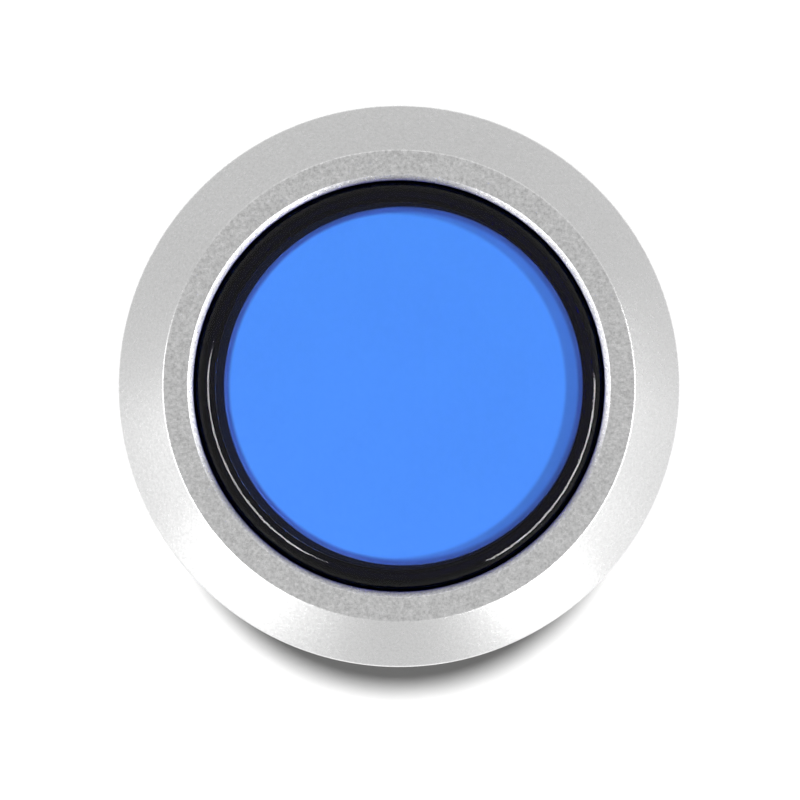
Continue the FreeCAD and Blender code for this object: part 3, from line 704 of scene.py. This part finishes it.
def mount(piece: Piece, finish: Finish, body: Body | None, slot: Slot, *nodes: str,
          smooth: float = SMOOTH_ANGLE) -> Piece:
    """Smooths and dresses a finished piece and ties it to its body.

    Args:
        piece: The finished mesh object.
        finish: Its surface finish.
        body: The body that it rides on, or None if it bends between two.
        slot: The record's slot that its finish stands for; not used.
        *nodes: CAD nodes that it stands for.
        smooth: Largest angle between faces that is shaded round.

    Returns:
        The piece.
    """
    pick(piece)
    bpy.ops.object.shade_smooth_by_angle(angle=smooth)
    piece.data.materials.append(finish.material())
    if body:
        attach(piece, body.value)
    if nodes:
        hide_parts(*nodes)
    carrier = body.value if body else "two bodies"
    LOG.info("%s: %d faces on %s", piece.name, len(piece.data.polygons), carrier)
    return piece


@dataclass
class Moulding:
    """A piece that keeps its CAD node's form, with its edges rounded."""

    node: str
    name: str
    finish: Finish
    body: Body
    slot: Slot
    edge: float = 0.08 * MM

    def build(self) -> Piece:
        """Copies the node, rounds its edges and mounts it."""
        piece = copy_node(self.node, self.name)
        soften(piece, self.edge)
        return mount(piece, self.finish, self.body, self.slot, self.node)


@dataclass
class BezelRing:
    """Metal ring with a conical flank, a grainy face ring and a bright chamfer at its bore."""

    bore: float = 12.05 * MM
    chamfer_width: float = 0.34 * MM
    chamfer_drop: float = 0.22 * MM
    chamfer_edge: float = 0.04 * MM
    face_width: float = 1.75 * MM
    lip: float = 0.9 * MM
    collar_height: float = 1.8 * MM
    collar_radius: float = 13.25 * MM
    flange_height: float = 1.0 * MM
    flange_radius: float = 15.05 * MM
    edge: float = 0.12 * MM
    steps: int = 288

    def build(self) -> Piece:
        """Spins the ring and mounts it."""
        low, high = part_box("bezel_ring")
        rim, top = high.x, high.z
        ring = lathe("bezel", [
            (self.bore, self.collar_height, 0),
            (self.collar_radius, self.collar_height, 0),
            (self.collar_radius, self.flange_height, 0),
            (self.flange_radius, self.flange_height, 0),
            (self.flange_radius, low.z, 0),
            (rim, low.z, self.edge),
            (rim, low.z + self.lip, 2 * self.edge),
            (self.bore + self.face_width, top, 2 * self.edge),
            (self.bore + self.chamfer_width, top, self.edge),
            (self.bore, top - self.chamfer_drop, self.chamfer_edge),
        ], steps=self.steps)
        return mount(ring, SATIN_ALUMINIUM, Body.HOUSING, Slot.ALUMINIUM, "bezel_ring")


@dataclass
class Thread:
    """Rounded trapezoid thread shared by the barrel and its nut."""

    pitch: float = 2.0 * MM
    depth: float = 0.5 * MM
    root: float = 0.5 * MM
    mouth: float = 1.3 * MM
    round: float = 0.12 * MM
    steps: int = 120

    def section(self, base: float, crest: float, middle: float) -> list[Corner]:
        """Returns a section whose narrow end is at one radius and whose wide end is at another.

        Args:
            base: Radius of the narrow end.
            crest: Radius of the wide end.
            middle: Height of the section's middle.

        Returns:
            The section's corners.
        """
        return [
            (base, middle - self.root / 2, self.round),
            (base, middle + self.root / 2, self.round),
            (crest, middle + self.mouth / 2, 0),
            (crest, middle - self.mouth / 2, 0),
        ]


@dataclass
class Barrel:
    """Threaded barrel with a plain pilot, flats and bayonet slots."""

    thread: Thread
    radius: float = 13.6 * MM
    pilot: float = 1.5 * MM
    relief: float = 1.4 * MM
    spare: float = 0.4 * MM

    def build(self) -> Piece:
        """Copies the node, cuts its thread and run-out and mounts it."""
        low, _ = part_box("barrel_housing")
        barrel = copy_node("barrel_housing", "threaded_barrel")
        root = self.radius - self.thread.depth
        outside = self.radius + self.spare
        run_out = lathe("run_out", [
            (root, -self.pilot - self.relief, self.spare / 2),
            (root, -self.pilot, 0),
            (outside, -self.pilot, 0),
            (outside, -self.pilot - self.relief - self.spare, 0),
        ])
        combine(barrel, run_out, "DIFFERENCE")
        length = -self.pilot - self.relief / 2 - low.z
        turns = math.ceil(length / self.thread.pitch) + 1
        start = -self.pilot - self.relief / 2 - turns * self.thread.pitch
        scale = self.spare / self.thread.depth
        wide = self.thread.mouth + (self.thread.mouth - self.thread.root) * scale
        groove = Thread(self.thread.pitch, mouth=wide).section(root, outside, start)
        cutter = helix("groove", groove, self.thread.pitch, turns, self.thread.steps)
        combine(barrel, cutter, "DIFFERENCE")
        return mount(barrel, BLACK_MOULDED, Body.HOUSING, Slot.BLACK, "barrel_housing",
                     smooth=CRISP_ANGLE)


@dataclass
class RingNut:
    """Scalloped ring nut with its thread inside."""

    thread: Thread
    bore: float = 14.0 * MM
    ridge: float = 0.28 * MM
    edge: float = 0.18 * MM
    edge_segments: int = 3
    first_turn: float = 0.75

    def build(self) -> Piece:
        """Copies the node, rounds it, adds its thread and mounts it."""
        low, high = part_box("ring_nut")
        nut = copy_node("ring_nut", "scalloped_nut")
        soften(nut, self.edge, self.edge_segments)
        turns = math.floor((high.z - low.z) / self.thread.pitch) - 1
        start = low.z + self.thread.pitch * self.first_turn
        section = self.thread.section(self.bore - self.ridge, self.bore + self.ridge, start)
        ridge = helix("ridge", section, self.thread.pitch, turns, self.thread.steps)
        combine(nut, ridge, "UNION")
        return mount(nut, BLACK_SATIN, Body.NUT, Slot.BLACK, "ring_nut")


@dataclass
class Plunger:
    """Clear cap over a lit opal disc, carried by a black moulding."""

    wall: float = 1.1 * MM
    roof: float = 1.8 * MM
    round: float = 1.0 * MM
    edge: float = 0.08 * MM
    carrier_edge: float = 0.12 * MM
    disc_gap: float = 0.02 * MM

    def build(self) -> None:
        """Builds the cap, the disc and the carrier."""
        self.build_cap()
        self.build_disc()
        Moulding("plunger_carrier", "carrier_moulding", BLACK_SMOOTH, Body.PLUNGER, Slot.BLACK,
                 self.carrier_edge).build()

    def build_cap(self) -> Piece:
        """Spins the cup-shaped cap."""
        low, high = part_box("plunger_cap")
        radius, inner = high.x, high.x - self.wall
        cap = lathe("clear_cap", [
            (0, high.z, 0),
            (radius, high.z, self.round),
            (radius, low.z, self.edge),
            (inner, low.z, self.edge),
            (inner, high.z - self.roof, self.edge),
            (0, high.z - self.roof, 0),
        ])
        return mount(cap, BLUE_CLEAR, Body.PLUNGER, Slot.BLUE, "plunger_cap")

    def build_disc(self) -> Piece:
        """Spins the opal disc and moves it to its place in the cap."""
        low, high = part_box("diffuser_disc")
        radius, top = (high.x - low.x) / 2, high.z - self.disc_gap
        disc = lathe("opal_disc", [
            (0, top, 0),
            (radius, top, self.edge),
            (radius, low.z, self.edge),
            (0, low.z, 0),
        ])
        shift(disc, x=(low.x + high.x) / 2)
        return mount(disc, LIT_OPAL, Body.PLUNGER, Slot.OPAL, "diffuser_disc")


@dataclass
class ReturnSpring:
    """Round-wire coil with closed ends under the plunger's shoulder."""

    wire: float = 0.8 * MM
    radius: float = 10.65 * MM
    end_turns: float = 1.0
    end_pitch: float = 1.02
    turns: float = 5.5
    steps_a_turn: int = 40
    travel: float = 2.4 * MM
    curve_order: int = 3
    curve_steps: int = 3
    wire_facets: int = 4

    def height_at(self, turn: float, height: float) -> float:
        """Returns the wire's rise at a turn, with closely wound ends."""
        closed = self.end_turns * self.wire * self.end_pitch
        if turn <= self.end_turns:
            return closed * turn / self.end_turns
        if turn >= self.turns - self.end_turns:
            return height - closed * (self.turns - turn) / self.end_turns
        open_part = (turn - self.end_turns) / (self.turns - 2 * self.end_turns)
        return closed + (height - 2 * closed) * open_part

    def build(self) -> Piece:
        """Bends the wire along its helix."""
        low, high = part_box("return_spring")
        height = high.z - low.z - self.wire
        bpy.ops.object.select_all(action="DESELECT")
        bpy.ops.curve.primitive_nurbs_path_add()
        coil = bpy.context.object
        coil.name = coil.data.name = "coil_spring"
        coil.data.splines.clear()
        spline = coil.data.splines.new("NURBS")
        count = round(self.turns * self.steps_a_turn)
        spline.points.add(count)
        for number, point in enumerate(spline.points):
            turn = self.turns * number / count
            rise = low.z + self.wire / 2 + self.height_at(turn, height)
            angle = math.tau * turn
            point.co = (self.radius * math.cos(angle), self.radius * math.sin(angle), rise, 1)
        spline.order_u = self.curve_order
        spline.use_endpoint_u = True
        coil.data.bevel_depth = self.wire / 2
        coil.data.bevel_resolution = self.wire_facets
        coil.data.resolution_u = self.curve_steps
        coil.data.use_fill_caps = True
        pick(coil)
        bpy.ops.object.convert(target="MESH")
        close_up(coil)
        mount(coil, SPRING_WIRE, Body.HOUSING, Slot.STEEL, "return_spring")
        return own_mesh(coil)


@dataclass
class Lamp:
    """Lamp holder with its wedge lamp and two terminals."""

    lens_round: float = 0.8 * MM
    lens_steps: int = 96
    edge: float = 0.05 * MM
    cup_radius: float = 2.6 * MM
    cup_height: float = 1.2 * MM
    cup_floor: float = 0.3 * MM
    cup_foot: float = 0.1 * MM
    cup_wall: float = 0.3 * MM
    cup_well: float = 1.5 * MM
    cup_steps: int = 64
    die_radius: float = 1.2 * MM
    die_low: float = 0.35 * MM
    die_high: float = 0.8 * MM
    die_round: float = 0.2 * MM
    die_steps: int = 48
    holder_edge: float = 0.1 * MM
    base_edge: float = 0.08 * MM
    lead_edge: float = 0.05 * MM
    resistor_edge: float = 0.2 * MM
    tab_edge: float = 0.04 * MM

    def build(self) -> None:
        """Builds the holder, the lamp and the terminals."""
        for node, name, finish, slot, edge in (
            ("lamp_holder", "holder_moulding", NYLON_MOULDED, Slot.NYLON, self.holder_edge),
            ("lamp_base", "wedge_base", NYLON_MOULDED, Slot.NYLON, self.base_edge),
            ("lamp_leads", "bare_leads", TINNED_STRIP, Slot.BRASS, self.lead_edge),
            ("lamp_resistor", "banded_resistor", RESISTOR_LACQUER, Slot.CERAMIC, self.resistor_edge),
            ("lamp_terminal_left", "lamp_tab_left", TINNED_STRIP, Slot.BRASS, self.tab_edge),
            ("lamp_terminal_right", "lamp_tab_right", TINNED_STRIP, Slot.BRASS, self.tab_edge),
        ):
            Moulding(node, name, finish, Body.HOUSING, slot, edge).build()
        self.build_lens()

    def build_lens(self) -> None:
        """Spins the lens and the cup and die that it is cast over."""
        low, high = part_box("led_lens")
        middle = (low.y + high.y) / 2
        lens = lathe("cast_lens", [
            (0, high.z, 0),
            (high.x, high.z, self.lens_round),
            (high.x, low.z, self.edge),
            (0, low.z, 0),
        ], steps=self.lens_steps)
        outside = self.cup_radius + self.cup_wall
        cup = lathe("reflector_cup", [
            (0, low.z + self.cup_floor, 0),
            (self.cup_well, low.z + self.cup_floor, 0),
            (self.cup_radius, low.z + self.cup_height, self.edge),
            (outside, low.z + self.cup_height, self.edge),
            (outside, low.z + self.cup_foot, self.edge),
            (0, low.z + self.cup_foot, 0),
        ], steps=self.cup_steps)
        die = lathe("phosphor_die", [
            (0, low.z + self.die_high, 0),
            (self.die_radius, low.z + self.die_high, self.die_round),
            (self.die_radius, low.z + self.die_low, self.edge),
            (0, low.z + self.die_low, 0),
        ], steps=self.die_steps)
        for piece in (lens, cup, die):
            shift(piece, y=middle)
        mount(lens, CLEAR_RESIN, Body.HOUSING, Slot.RESIN, "led_lens")
        mount(cup, CONTACT_SILVER, Body.HOUSING, Slot.SILVER)
        mount(die, LED_DIE, Body.HOUSING, Slot.RESIN)


@dataclass
class PushPin:
    """Switch's pin, with a coned foot that bears on the rails of the blade."""

    tip_radius: float = 0.3 * MM
    tip_slope: float = 0.4 * MM
    collar_radius: float = 1.5 * MM
    collar_low: float = 0.9 * MM
    collar_high: float = 1.6 * MM
    neck_radius: float = 0.9 * MM
    stem_radius: float = 0.8 * MM
    foot_cone: float = 0.13 * MM
    edge: float = 0.08 * MM
    steps: int = 48

    def build(self) -> Piece:
        """Spins the pin, moves it to its place in the switch and mounts it."""
        low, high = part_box("switch_button")
        pin = lathe("push_pin", [
            (0, high.z, 0),
            (self.tip_radius, high.z, 2 * self.edge),
            (self.neck_radius, high.z - self.tip_slope, 2 * self.edge),
            (self.neck_radius, low.z + self.collar_high, 0),
            (self.collar_radius, low.z + self.collar_high, self.edge),
            (self.collar_radius, low.z + self.collar_low, self.edge),
            (self.stem_radius, low.z + self.collar_low, 0),
            (self.stem_radius, low.z + self.foot_cone, self.edge),
            (0, low.z, 0),
        ], steps=self.steps)
        shift(pin, x=(low.x + high.x) / 2, y=(low.y + high.y) / 2)
        return mount(pin, NYLON_MOULDED, Body.PIN, Slot.NYLON, "switch_button")


@dataclass
class Switch:
    """Snap switch with its lever, terminals and contacts."""

    crown: float = 0.12 * MM
    body_edge: float = 0.1 * MM
    strip_edge: float = 0.04 * MM
    blade_edge: float = 0.03 * MM
    blade_step: float = 0.3 * MM

    def build(self) -> None:
        """Builds the switch's pieces."""
        housing, steel, brass, silver = Body.HOUSING, Slot.STEEL, Slot.BRASS, Slot.SILVER
        for half in ("base", "cover"):
            Moulding(f"switch_{half}", f"{half}_moulding", BLACK_MOULDED, housing, Slot.BLACK,
                     self.body_edge).build()
        Moulding("switch_lever", "pressed_lever", SPRING_STRIP, Body.LEVER, steel,
                 self.strip_edge).build()
        PushPin().build()
        for name in ("common", "normally_open", "normally_closed"):
            Moulding(f"terminal_{name}", f"tab_{name}", TINNED_STRIP, housing, brass,
                     self.strip_edge).build()
        for name in ("normally_open", "normally_closed"):
            Moulding(f"contact_{name}", f"fixed_point_{name}", CONTACT_SILVER, housing, silver,
                     self.crown).build()
        Moulding("moving_contact", "moving_rivet", CONTACT_SILVER, Body.RIVET, silver,
                 self.crown).build()
        self.build_blade()

    def build_blade(self) -> Piece:
        """Slices the blade finely from its anchor to the pin."""
        blade = copy_node("snap_blade", "sprung_blade")
        soften(blade, self.blade_edge)
        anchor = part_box("terminal_common")[1].x
        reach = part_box("switch_button")[0].x - anchor
        for number in range(round(reach / self.blade_step) + 1):
            cut = anchor + number * self.blade_step
            with editing(blade):
                bpy.ops.mesh.bisect(plane_co=(cut, 0, 0), plane_no=(1, 0, 0))
        mount(blade, SPRING_STRIP, None, Slot.STEEL, "snap_blade")
        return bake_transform(blade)


@dataclass(frozen=True)
class Softbox:
    """A flat lamp that faces the button and lights one group of pieces."""

    name: str
    lit: Lit
    azimuth: float
    elevation: float
    width: float
    height: float
    radiance: float
    distance: float = 0.5

    def build(self) -> None:
        """Hangs the lamp and ties it to what it lights."""
        lamp = bpy.data.lights.new(self.name, "AREA")
        lamp.shape = "RECTANGLE"
        lamp.size = self.width
        lamp.size_y = self.height
        lamp.energy = math.pi * self.radiance * self.width * self.height
        stand = bpy.data.objects.new(self.name, lamp)
        bpy.context.scene.collection.objects.link(stand)
        turn, rise = math.radians(self.azimuth), math.radians(self.elevation)
        level = math.cos(rise)
        outward = Vector((math.cos(turn) * level, math.sin(turn) * level, math.sin(rise)))
        stand.location = outward * self.distance
        stand.rotation_euler = (-outward).to_track_quat("-Z", "Y").to_euler()
        stand.visible_camera = False
        stand.light_linking.receiver_collection = bpy.data.collections[self.lit.value]


ACCENT_LAMPS = (
    Softbox("side_right", Lit.BUTTON, azimuth=334, elevation=40, width=0.67, height=0.07, radiance=8.0),
    Softbox("side_left", Lit.BUTTON, azimuth=207, elevation=40, width=0.59, height=0.07, radiance=6.4),
    Softbox("edge_right", Lit.CAP, azimuth=330, elevation=24, width=0.58, height=0.12, radiance=21.5),
    Softbox("edge_left", Lit.CAP, azimuth=207, elevation=60, width=0.36, height=0.1, radiance=21.0),
    Softbox("high_back", Lit.BEZEL, azimuth=90, elevation=44, width=0.9, height=0.2, radiance=0.35),
)
# Azimuth, width and radiance of the lamps in the low row, which grade the bezel's flank.
LOW_ROW = (
    (196, 0.24, 0.5), (219, 0.11, 1.1), (232, 0.11, 2.4), (246, 0.15, 0.59),
    (289, 0.09, 0.39), (305, 0.15, 2.4), (325, 0.13, 0.33), (342, 0.32, 0.32),
)


@dataclass
class Studio:
    """Pale floor, soft light and a camera that looks straight down."""

    floor_size: float = 2.0
    floor_cells: int = 8
    nut_reach: float = 52 * MM
    tent: float = 0.58
    low_rise: float = 16
    low_height: float = 0.12
    sun_power: float = 11.8
    sun_tilt: float = 4.0
    sun_width: float = 1.6
    camera_height: float = 0.6
    nearest: float = 0.01
    farthest: float = 10
    picture_width: float = 46.98 * MM
    picture_level: float = 0.9 * MM
    aim_x: float = 0.06 * MM
    aim_y: float = -0.82 * MM

    def build(self) -> None:
        """Sets up the floor, the lights and the camera."""
        self.group(self.build_floor())
        self.build_tent()
        self.build_softboxes()
        self.build_shadow()
        self.build_camera()
        bpy.context.scene.view_settings.view_transform = "Standard"

    def build_floor(self) -> Piece:
        """Lays the floor below the ring nut's lowest place."""
        bpy.ops.object.select_all(action="DESELECT")
        bpy.ops.mesh.primitive_grid_add(x_subdivisions=self.floor_cells, y_subdivisions=self.floor_cells,
                                        size=self.floor_size)
        floor = bpy.context.object
        floor.name = "floor"
        shift(floor, z=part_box("ring_nut")[0].z - self.nut_reach)
        floor.data.materials.append(FLOOR_SHEET.material())
        floor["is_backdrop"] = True
        return floor

    def group(self, floor: Piece) -> None:
        """Sorts the floor and the pieces into the groups that lamps light."""
        groups = {lit: bpy.data.collections.new(lit.value) for lit in Lit}
        groups[Lit.GROUND].objects.link(floor)
        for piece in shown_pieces():
            groups[Lit.CAP if piece.name == "clear_cap" else Lit.BUTTON].objects.link(piece)
        groups[Lit.BEZEL].objects.link(bpy.data.objects["bezel"])

    def build_tent(self) -> None:
        """Sets the even light from all round."""
        world = bpy.data.worlds.new("tent")
        world.use_nodes = True
        world.node_tree.nodes["Background"].inputs["Color"].default_value = (self.tent,) * 3 + (1,)
        bpy.context.scene.world = world

    def build_softboxes(self) -> None:
        """Hangs the accent lamps and the low row."""
        for softbox in ACCENT_LAMPS:
            softbox.build()
        for azimuth, width, radiance in LOW_ROW:
            Softbox(f"low_{azimuth}", Lit.BEZEL, azimuth, self.low_rise, width, self.low_height,
                    radiance).build()

    def build_shadow(self) -> None:
        """Hangs the lamp that throws the barrel's shadow on the floor."""
        sun = bpy.data.objects.new("shadow_lamp", bpy.data.lights.new("shadow_lamp", "SUN"))
        bpy.context.scene.collection.objects.link(sun)
        sun.data.energy = self.sun_power
        sun.data.angle = math.radians(self.sun_width)
        sun.rotation_euler = (-math.radians(self.sun_tilt), 0, 0)
        sun.light_linking.receiver_collection = bpy.data.collections[Lit.GROUND.value]
        shade = bpy.data.collections.new("shade")
        shade.objects.link(bpy.data.objects["threaded_barrel"])
        sun.light_linking.blocker_collection = shade

    def build_camera(self) -> None:
        """Places the camera above the bezel."""
        lens = bpy.data.cameras.new("camera")
        camera = bpy.data.objects.new("camera", lens)
        bpy.context.scene.collection.objects.link(camera)
        camera.location = (self.aim_x, self.aim_y, self.camera_height)
        lens.lens = lens.sensor_width * (self.camera_height - self.picture_level) / self.picture_width
        lens.clip_start = self.nearest
        lens.clip_end = self.farthest
        bpy.context.scene.camera = camera


def main() -> None:
    """Builds the button's sub-assemblies and the studio in order."""
    logging.basicConfig(level=logging.INFO, format="%(message)s")
    thread = Thread()
    assemblies = (BezelRing(), Barrel(thread), RingNut(thread), Plunger(), ReturnSpring(), Lamp(),
                  Switch(), Studio())
    for assembly in assemblies:
        LOG.info("building %s", type(assembly).__name__)
        assembly.build()


if __name__ == "__main__":
    main()
